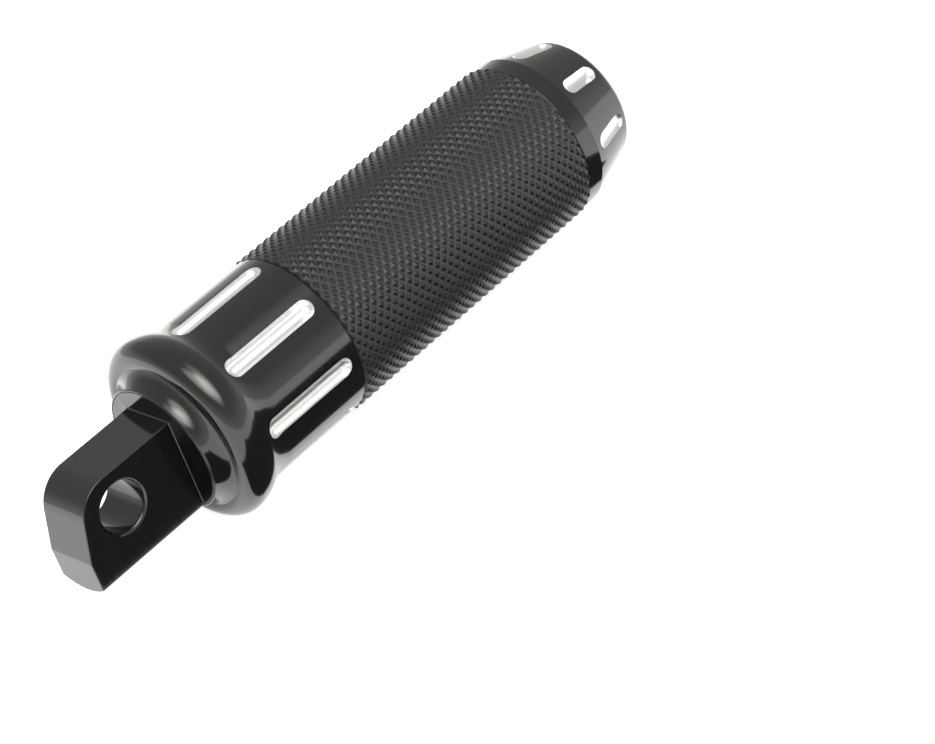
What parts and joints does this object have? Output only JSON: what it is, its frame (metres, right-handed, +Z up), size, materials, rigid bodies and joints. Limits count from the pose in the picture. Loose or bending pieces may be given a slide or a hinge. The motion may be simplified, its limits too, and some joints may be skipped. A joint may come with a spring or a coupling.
{
  "type": "motorcycle foot peg",
  "caption": "Male-mount folding foot peg: flat tang with a cross bore, flared slotted collar, knurled grip sleeve and a slotted, tapered, dished end cap.",
  "frame": {"origin": "centre of the clevis-pin bore in the tang, midway between the tang's two flat sides", "axes": "+X along the peg's axis towards its outer end, Y along the clevis pin, +Z up with the peg folded out for riding (the tang's flat top faces up)"},
  "size_m": [0.1461, 0.0394, 0.0394],
  "materials": {
    "black_anodised": "polished, gloss black anodised",
    "knurled_black": "satin black anodised, diamond knurl",
    "bare_aluminium": "machined",
    "black_steel": "black oxide",
    "zinc_steel": "zinc plated",
    "black_rubber": "matt"
  },
  "bodies": {
    "root": {"mount": "black_anodised", "collar": "black_anodised", "core_bar": "bare_aluminium", "grip_sleeve": "knurled_black", "end_cap": "black_anodised", "core_bolt": "black_steel", "flat_washer": "zinc_steel", "spring_washer": "zinc_steel", "sleeve_o_rings": "black_rubber", "index_dowels": "zinc_steel", "cap_grub_screw": "black_steel"}
  },
  "joints": []
}
